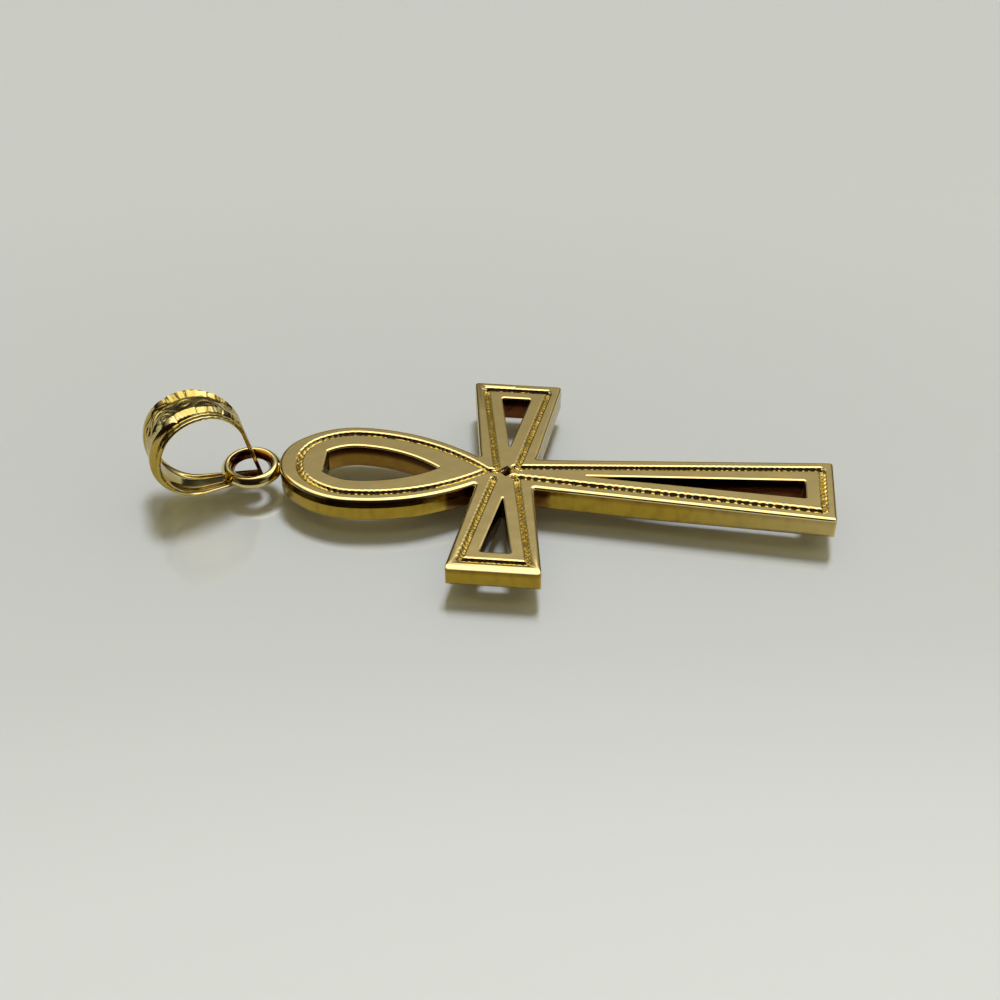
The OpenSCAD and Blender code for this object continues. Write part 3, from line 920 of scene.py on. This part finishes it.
def outer_side(strip, s):
    """The strip's outer side, one row across for each s: its two ridges, the engraved band between
    them and its rounded edges. w runs across and is positive on the viewer's side."""
    across = [np.linspace(-1, -0.9, 6)[:-1], np.linspace(-0.9, 0.9, 92), np.linspace(0.9, 1, 6)[1:]]
    x, y = strip.place(s, strip.t)
    width = strip.width(x)
    share = width / strip.far_width
    w = np.concatenate(across)[None, :] * width / 2
    at = s + 0 * w
    near_side = w > 0
    edge_away = width / 2 - np.abs(w)
    flange = strip.flange * share
    ridge = strip.ridge * share
    height = strip.ridge_height(x, y)
    inset = edge_away - flange
    # q crosses each ridge from its near to its far edge. The far ridge's edges are jagged.
    zig, _, _ = bites(at, 0.40, seed=61, spread=0.3)
    jag = 0.07 * share * (zig - 0.5)
    q = np.clip(np.where(near_side, inset / ridge, 1 - (inset + jag) / ridge), 0, 1)
    near = ridge_profile(at, q, seed=71, pitch=0.72, low=0.22)
    far = ridge_profile(at, q, seed=83, pitch=0.9, low=0.1)
    # The upper side is cut in facets. Round the far end and below, the ridges run into the band.
    faceted = smooth_step(at, FACETS_START, FACETS_FULL)
    top = np.where(near_side, near, far) * faceted + 0.9 * (1 - faceted)
    inner_fall = np.where(near_side, 0.16, 0.05) * share
    on_ridge = smooth_step(inset, 0.0, 0.05) * (1 - smooth_step(inset - ridge, -0.01, inner_fall))
    h = strip.t + on_ridge * height * top
    crease = bell(inset + 0.05, 0.05) * np.minimum(1, height / 0.08)
    h = h - 0.07 * crease * near_side
    # The band between the ridges, with its scroll
    inner = smooth_step(inset - ridge, 0.0, 0.16)
    band = np.maximum(width / 2 - flange - ridge, 0.05)
    hollow = 0.22 * faceted * (w / band) ** 2 + 0.72 * (1 - faceted) * smooth_step(s, 3.5, 6.0)
    h = h + inner * height * hollow
    far_band = strip.far_width / 2 - strip.flange - strip.ridge
    cuts = scroll_cuts(at, w / np.maximum(share, 0.35), far_band)
    h = h - (0.055 - 0.033 * faceted) * cuts * inner * smooth_step(share, 0.35, 0.55)
    h = h + (0.035 - 0.023 * faceted) * inner * np.sin(5.1 * s + 6.0 * w) * np.sin(2.3 * s - 3.1 * w)
    # The plain edges are dented and a little crowned
    dimple = np.sin(9.3 * s + 1.7) * np.sin(4.1 * s) + 0.6 * np.sin(17.0 * s)
    h = h + 0.008 * (inset < 0) * dimple * smooth_step(share, 0.3, 0.6)
    crown = 0.03 * np.clip(1 - ((edge_away - 0.5 * flange) / (0.5 * flange + 1e-6)) ** 2, 0, 1)
    h = h + crown * (inset < 0) * share
    rounding = np.clip(1 - edge_away / STRIP_EDGE, 0, 1)
    h = h - STRIP_EDGE * (1 - np.sqrt(np.maximum(1 - rounding ** 2, 0)))
    return np.stack([*strip.place(at, h), -w], axis=2)


def inner_side(strip, s):
    """The strip's inner side, one row across for each s, hollow under the raised ridges."""
    x, _ = strip.place(s, 0.0 * s)
    width = strip.width(x)
    share = width / strip.far_width
    w = np.linspace(1, -1, 44)[None, :] * width / 2
    edge_away = width / 2 - np.abs(w)
    h = 0.06 * np.clip(1 - edge_away / 0.1, 0, 1) ** 2
    under = (edge_away - (strip.flange + 0.5 * strip.ridge) * share) / (0.3 * share)
    h = h + 0.13 * np.exp(-(under ** 2)) * smooth_step(share, 0.2, 0.5)
    return np.stack([*strip.place(s + 0 * w, h), -w], axis=2)


def make_bail(bail):
    """The bail in its own plane, in millimetres, closed in a blunt tip."""
    strip = Strip(bail)
    s = np.linspace(-0.06, strip.total + 0.06, 420)[:, None]
    rows = np.concatenate([outer_side(strip, s), inner_side(strip, s)], axis=1)
    rows = np.concatenate([rows, rows[:, :1]], axis=1)
    # The strip's two ends meet in a seam behind the corner
    lower = s < strip.total / 2
    seam = np.where(lower, -0.004, 0.004)
    x = np.maximum(rows[:, :, 0], -strip.reach - strip.tip_lap)
    y = rows[:, :, 1]
    closed = np.where(lower, np.minimum(y, seam), np.maximum(y, seam))
    rows[:, :, 0] = x
    rows[:, :, 1] = np.where(x < -strip.reach * 0.9, closed, y)
    return swept("leaf_bail", rows)


def bail_matrix():
    """Where the bail lies: the same turns and moves as in the part's source, in millimetres."""
    turn, roll, lean = math.radians(BAIL_TURN), math.radians(BAIL_ROLL), math.radians(BAIL_LEAN)
    place = Matrix.Translation((RING_MIDDLE, 0, BAIL_HEIGHT)) @ Matrix.Rotation(math.pi + turn, 4, "Z")
    place = place @ Matrix.Translation((BAIL_OUT, BAIL_ASIDE, 0)) @ Matrix.Rotation(roll, 4, "X")
    return place @ Matrix.Rotation(math.pi / 2, 4, "X") @ Matrix.Rotation(lean, 4, "Z")


class PENDANT_OT_bail(Operator):
    """Make the leaf shaped bail with its ridges, facets and cut scroll"""

    bl_idname = "pendant.bail"
    bl_label = "Make Bail"

    def execute(self, context):
        scene = context.scene
        bail = in_mm(scene.pendant_bail)
        piece = make_bail(bail)
        to_metres(piece, bail_matrix())
        bpy.ops.object.shade_smooth_by_angle(angle=math.radians(28))
        tip = MM * (bail_matrix() @ Vector((-bail.corner, 0, 0)))
        coat(piece, polished_gold(
            "bail_gold", scene.pendant_finish, roughness=0.1, ripple=0.5, darkening=0.65, tip=tip,
        ))
        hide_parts("bail")
        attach(piece, "root")
        return {"FINISHED"}


# Finishes


class NodeKit:
    """Adds nodes to a finish or to the room, and links them. Places and heights are in metres."""

    def __init__(self, tree):
        self.nodes, self.links = tree.nodes, tree.links

    def join(self, node, inputs):
        """Sets or links a node's inputs, which are given by number or name."""
        for at, value in inputs.items():
            if isinstance(value, bpy.types.NodeSocket):
                self.links.new(value, node.inputs[at])
            else:
                node.inputs[at].default_value = value

    def add(self, kind, inputs=None, out=0, **options):
        node = self.nodes.new("ShaderNode" + kind)
        for name, value in options.items():
            setattr(node, name, value)
        self.join(node, inputs or {})
        return node.outputs[out]

    def place(self):
        return self.add("TexCoord", out="Object")

    def axes(self, where):
        node = self.nodes.new("ShaderNodeSeparateXYZ")
        self.links.new(where, node.inputs[0])
        return node.outputs

    def attribute(self, name):
        return self.add("Attribute", out="Fac", attribute_name=name)

    def noise(self, where, scale, detail=2.0):
        return self.add("TexNoise", {"Vector": where, "Scale": scale, "Detail": detail}, "Fac")

    def spread(self, value, low, high, out_low, out_high):
        """A value that goes from out_low to out_high as the first goes from low to high."""
        return self.add("MapRange", {"Value": value, "From Min": low, "From Max": high,
                                     "To Min": out_low, "To Max": out_high}, "Result")

    def bump(self, height, distance, strength, under=None):
        inputs = {"Strength": strength, "Distance": distance, "Height": height}
        if under is not None:
            inputs["Normal"] = under
        return self.add("Bump", inputs, "Normal")

    def blend(self, share, first, second):
        """A colour that goes from the first to the second as the share goes from 0 to 1."""
        first, second = (value if isinstance(value, bpy.types.NodeSocket) else (*value, 1.0)
                         for value in (first, second))
        return self.add("Mix", {0: share, 6: first, 7: second}, 2, data_type="RGBA")

    def maths(self, how, first, second):
        return self.add("Math", {0: first, 1: second}, operation=how)

    def background(self, colour, strength=1.0):
        return self.add("Background", {"Color": (*colour, 1.0), "Strength": strength})


def new_finish(name):
    finish = bpy.data.materials.new(name)
    finish.use_nodes = True
    return finish, finish.node_tree.nodes["Principled BSDF"], NodeKit(finish.node_tree)


# Dark brown for the sides' random streaks and their painted shade under the lip, and near black for
# the painted shade at the top of facing walls, as shares of the deep and the shaded gold
STREAK_AND_SHADE, BLACK = (0.5, 0.36, 0.5), (0.2, 0.2, 0.2)


def darker(colour, shares):
    return [value * share for value, share in zip(colour, shares)]


def polished_gold(name, settings, roughness, ripple, darkening, tip=None):
    """Polished gold: faint ripples, fine scratches and a little change of polish. Gold with a tip,
    the bail's, carries painted shade: deeper on its flanks, and red brown round the tip, where it
    meets the ring."""
    finish, shader, kit = new_finish(name)
    where = kit.place()
    tarnish = kit.spread(kit.noise(where, 1100.0, 4.0), 0.42, 0.62, 0.0, darkening)
    tone = kit.blend(tarnish, settings.gold_bail, settings.gold_deep)
    if tip is not None:
        # Painted shade on the bail's flanks, between its foot and its top, and round its tip at the ring
        height = kit.axes(where)["Z"]
        below_top = kit.spread(height, 0.0042, 0.0052, 0.85, 0.0)
        above_foot = kit.spread(height, 0.0007, 0.0013, 0.0, 0.8)
        tone = kit.blend(kit.maths("MINIMUM", below_top, above_foot), tone, settings.gold_deep)
        away = kit.add("VectorMath", {0: where, 1: tip}, "Value", operation="DISTANCE")
        tone = kit.blend(kit.spread(away, 0.0009, 0.0034, 0.85, 0.0), tone, settings.gold_shade)
    tone = kit.blend(kit.attribute("shade"), tone, settings.gold_shade)
    polish = kit.noise(where, 1500.0, 3.0)
    ripples = kit.bump(kit.noise(where, 900.0), 0.00008, ripple)
    scratches = kit.bump(kit.noise(where, 9000.0, 3.0), 0.000006, 0.35, ripples)
    kit.join(shader, {
        "Metallic": 1.0, "Base Color": tone, "Normal": scratches,
        "Roughness": kit.spread(polish, 0.3, 0.7, roughness * 0.7, roughness * 1.6),
    })
    return finish


def cast_gold(settings, plate):
    """The plate's gold: polished on its face, paler just below it, duller on the floors of the
    grooves, and deeper, streaked and grained on its sides, which are paler towards the stem's end.
    The sides' deep gold is partly their own cast colour and partly painted shade, and a band of
    painted shade lies just under the lip. Walls that face each other carry painted shade, almost
    black at their top."""
    finish, shader, kit = new_finish("plate_gold")
    where = kit.place()
    axes = kit.axes(where)
    height, top = axes["Z"], plate.thickness
    below_face = kit.spread(height, top - 0.00009, top - 0.00004, 1.0, 0.0)
    below_lip = kit.spread(height, top - 0.0002, top - 0.00014, 1.0, 0.0)
    on_wall = kit.maths("MULTIPLY", below_lip, kit.attribute("wall"))
    upright = kit.add("VectorMath", {0: where, 1: (1.0, 1.0, 0.55)}, operation="MULTIPLY")
    streak = kit.spread(kit.noise(upright, 2100.0, 4.0), 0.46, 0.74, 0.0, 0.42)
    # Painted shade: the sides darken in a band just under the lip, on top of their random streaks
    painted_shade_under_lip = kit.spread(height, top - 0.0005, top - 0.0002, 0.0, 0.8)
    darkening = kit.maths("MINIMUM", kit.maths("ADD", streak, painted_shade_under_lip), 1.0)
    side = kit.blend(darkening, settings.gold_deep, darker(settings.gold_deep, STREAK_AND_SHADE))
    side = kit.blend(kit.spread(axes["X"], 0.009, 0.0176, 0.0, 0.4), side, settings.gold_cut)
    shade = kit.attribute("shade")
    side = kit.blend(shade, side, settings.gold_shade)
    # Painted shade: walls in shade turn near black towards their top
    painted_top_shade = kit.spread(height, top - 0.0007, top - 0.00052, 0.0, 0.97)
    side = kit.blend(kit.maths("MULTIPLY", painted_top_shade, shade), side, darker(settings.gold_shade, BLACK))
    tone = kit.blend(below_face, settings.gold, settings.gold_cut)
    tone = kit.blend(below_lip, tone, settings.gold_groove)
    polish = kit.noise(where, 1400.0, 4.0)
    smooth = kit.spread(polish, 0.3, 0.7, 0.07, 0.15)
    grained = kit.spread(polish, 0.3, 0.7, 0.1, 0.24)
    waves = kit.bump(kit.noise(where, 500.0), 0.0001, 0.25)
    grain = kit.maths("MULTIPLY", kit.noise(where, 5200.0, 4.0), on_wall)
    kit.join(shader, {
        "Metallic": 1.0, "Base Color": kit.blend(on_wall, tone, side),
        "Roughness": kit.add("Mix", {0: on_wall, 2: smooth, 3: grained}, data_type="FLOAT"),
        "Normal": kit.bump(grain, 0.00003, 0.4, waves),
    })
    return finish


# Stage


# Direction of the middle of the room's bright ceiling, and the room's brightness from level with
# the ground, 0, up to there, 1
CEILING = (0.05, 0.139, 0.989)
ROOM_STOPS = ((0.0, 0.02), (0.30, 0.03), (0.47, 0.10), (0.60, 0.22), (0.74, 0.37), (0.80, 0.50),
              (0.87, 1.5), (1.0, 2.0))
# Colours of the room on its dark side and to the right and left of that, behind the ground, and as
# the ground's fill
DIM_RED = (0.012, 0.006, 0.006)
FLANK_GREY = (1.0, 0.97, 0.9)
PALE_GREY = (0.56, 0.565, 0.535)
WARM_FILL = (0.34, 0.30, 0.15)
# Width of the ground, and half the length and width of the place where it is glossiest, in metres
GROUND, GLOSSY_LONG, GLOSSY_WIDE = 2.4, 0.03, 0.016
# Width of the camera's sensor, in millimetres
SENSOR = 36.0
# Where the crossing stands right of and above the frame's middle, in widths of the frame
CROSSING_IN_FRAME = (0.00640, 0.02904)


def plain_ground(settings):
    finish, shader, kit = new_finish("pale_ground")
    kit.join(shader, {"Base Color": (*settings.ground, 1.0), "Roughness": 0.9, "Specular IOR Level": 0.0})
    return finish


def clear_layer():
    """The clear gloss over the ground. It only adds a faint reflection, which is fullest round the
    pendant, where it carries the gold's."""
    finish, shader, kit = new_finish("clear_layer")
    kit.nodes.remove(shader)
    shares = (1 / GLOSSY_LONG, 1 / GLOSSY_WIDE, 0.0)
    flat = kit.add("VectorMath", {0: kit.place(), 1: shares}, operation="MULTIPLY")
    away = kit.add("VectorMath", {0: flat}, "Value", operation="LENGTH")
    gloss = kit.add("BsdfGlossy", {"Roughness": 0.13})
    layer = kit.add("MixShader", {0: kit.spread(away, 0.6, 2.2, 0.17, 0.11),
                                  1: kit.add("BsdfTransparent"), 2: gloss})
    kit.join(kit.nodes["Material Output"], {"Surface": layer})
    return finish


def floor_plane(name, height, finish):
    start_fresh()
    bpy.ops.mesh.primitive_plane_add(size=GROUND, location=(0, 0, height))
    plane = bpy.context.object
    plane.name = name
    bpy.ops.object.transform_apply(location=True, rotation=True, scale=True)
    plane.data.materials.append(finish)


def soft_light(name, place, spread_angle, power, tint):
    """A soft light that falls evenly on all of the ground, from the side of the given place. The
    metal mirrors the room alone, so the light doesn't show in it."""
    start_fresh()
    bpy.ops.object.light_add(type="SUN", location=place)
    light = bpy.context.object
    light.name = name
    light.data.angle = math.radians(spread_angle)
    light.data.energy = power
    light.data.color = tint
    light.visible_glossy = False
    light.rotation_euler = (-Vector(place)).to_track_quat("-Z", "Y").to_euler()


def room_ramp(kit, share):
    """The room's brightness, a little warm, from the dark below to the bright ceiling."""
    ramp = kit.nodes.new("ShaderNodeValToRGB")
    elements = ramp.color_ramp.elements
    while len(elements) < len(ROOM_STOPS):
        elements.new(0.5)
    for element, (at, value) in zip(elements, ROOM_STOPS):
        element.position = at
        element.color = (value, value * 0.995, value * 0.96, 1.0)
    kit.join(ramp, {"Fac": share})
    return ramp.outputs["Color"]


def soft_room():
    """A plain room for the metal to mirror: a wide bright ceiling, grey walls, and dark low down
    and on the side of the camera. It is made so by the direction in the room alone."""
    world = bpy.data.worlds.new("room")
    bpy.context.scene.world = world
    world.use_nodes = True
    kit = NodeKit(world.node_tree)
    where = kit.add("TexCoord", out="Generated")
    x, y, z = kit.axes(where)
    upward = kit.add("VectorMath", {0: where, 1: CEILING}, "Value", operation="DOT_PRODUCT")
    aside = kit.maths("MULTIPLY", kit.maths("MULTIPLY", kit.maths("MULTIPLY", x, x), 0.45), z)
    near = kit.spread(y, -0.62, -0.42, 0.09, 1.0)
    side = kit.spread(x, -0.7, 0.7, 0.75, 1.15)
    main = kit.nodes["Background"]
    kit.join(main, {"Color": room_ramp(kit, kit.maths("ADD", upward, aside)),
                    "Strength": kit.maths("MULTIPLY", near, side)})
    # The dark side of the room keeps a dim red brown
    dim = kit.background(DIM_RED, kit.maths("SUBTRACT", 1.0, near))
    # To the camera's right and left it is a low grey again, so that the pendant shows from behind
    right = kit.spread(x, 0.42, 0.62, 0.0, 0.2)
    left = kit.spread(x, -0.5, -0.66, 0.0, 0.08)
    behind = kit.spread(y, -0.32, -0.5, 0.0, 1.0)
    low = kit.maths("MINIMUM", kit.spread(z, 0.0, 0.12, 0.0, 1.0), kit.spread(z, 0.30, 0.38, 1.0, 0.0))
    flanks = kit.maths("MULTIPLY", kit.maths("ADD", right, left), behind)
    flank = kit.background(FLANK_GREY, kit.maths("MULTIPLY", flanks, low))
    room = kit.add("AddShader", {0: main.outputs[0], 1: kit.add("AddShader", {0: dim, 1: flank})})
    # The ground takes a warm fill from all round, so that shade on it looks warm
    diffuse = kit.add("LightPath", out="Is Diffuse Ray")
    fill = kit.add("MixShader", {0: diffuse, 1: room, 2: kit.background(WARM_FILL)})
    # Past the end of the ground the eye sees plain pale grey
    seen = kit.add("LightPath", out="Is Camera Ray")
    mix = kit.add("MixShader", {0: seen, 1: fill, 2: kit.background(PALE_GREY)})
    kit.join(kit.nodes["World Output"], {"Surface": mix})


def add_camera(scene, stage):
    """The photo's camera: its angle to the pendant, and where the crossing stands in the frame."""
    az, el = stage.azimuth, stage.elevation
    back = np.array([math.sin(az) * math.cos(el), -math.cos(az) * math.cos(el), math.sin(el)])
    right = np.array([math.cos(az), math.sin(az), 0.0])
    up = np.cross(back, right)
    focus = stage.lens / SENSOR
    dx, dy = (share / focus for share in CROSSING_IN_FRAME)
    target = np.array([0, 0, scene.pendant_plate.thickness])
    place = target + stage.distance * (back - dx * right - dy * up)
    bpy.ops.object.camera_add()
    camera = bpy.context.object
    camera.name = "camera"
    camera.data.lens = stage.lens
    camera.data.sensor_width = SENSOR
    camera.data.clip_start = 0.001
    camera.data.clip_end = 10.0
    camera.matrix_world = Matrix([*np.column_stack([right, up, back, place]), (0, 0, 0, 1)])
    scene.camera = camera


class PENDANT_OT_stage(Operator):
    """Make the pale ground, the soft room and light, and the camera"""

    bl_idname = "pendant.stage"
    bl_label = "Make Stage"

    def execute(self, context):
        scene = context.scene
        stage = scene.pendant_stage
        floor_plane("pale_ground", -stage.clear, plain_ground(scene.pendant_finish))
        floor_plane("clear_layer", -stage.mirror, clear_layer())
        soft_room()
        soft_light("overhead", (0.02, 0.08, 0.31), spread_angle=12.5, power=2.42, tint=(0.815, 0.87, 1.0))
        add_camera(scene, stage)
        scene.view_settings.view_transform = "Standard"
        return {"FINISHED"}


# Panel


class VIEW3D_PT_pendant(Panel):
    """Lists the pendant's sizes and its steps"""

    bl_label = "Ankh Pendant"
    bl_idname = "VIEW3D_PT_pendant"
    bl_space_type = "VIEW_3D"
    bl_region_type = "UI"
    bl_category = "Ankh Pendant"

    def draw(self, context):
        for name, (_, step) in GROUPS.items():
            box = self.layout.box()
            settings = getattr(context.scene, name)
            for key in settings.__annotations__:
                box.prop(settings, key)
            if step:
                box.operator(step)


# Each group of settings, and the step that it belongs to
GROUPS = {
    "pendant_plate": (PlateSettings, "pendant.plate"),
    "pendant_groove": (GrooveSettings, None),
    "pendant_opening": (OpeningSettings, None),
    "pendant_ring": (RingSettings, "pendant.ring"),
    "pendant_bail": (BailSettings, "pendant.bail"),
    "pendant_finish": (FinishSettings, None),
    "pendant_stage": (StageSettings, "pendant.stage"),
}
STEPS = (PENDANT_OT_plate, PENDANT_OT_ring, PENDANT_OT_bail, PENDANT_OT_stage, VIEW3D_PT_pendant)


def register():
    for name, (group, _) in GROUPS.items():
        bpy.utils.register_class(group)
        setattr(bpy.types.Scene, name, PointerProperty(type=group))
    for step in STEPS:
        bpy.utils.register_class(step)


def unregister():
    for step in reversed(STEPS):
        bpy.utils.unregister_class(step)
    for name, (group, _) in reversed(GROUPS.items()):
        delattr(bpy.types.Scene, name)
        bpy.utils.unregister_class(group)


def main():
    register()
    bpy.ops.pendant.plate()
    bpy.ops.pendant.ring()
    bpy.ops.pendant.bail()
    bpy.ops.pendant.stage()
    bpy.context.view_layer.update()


if __name__ == "__main__":
    main()
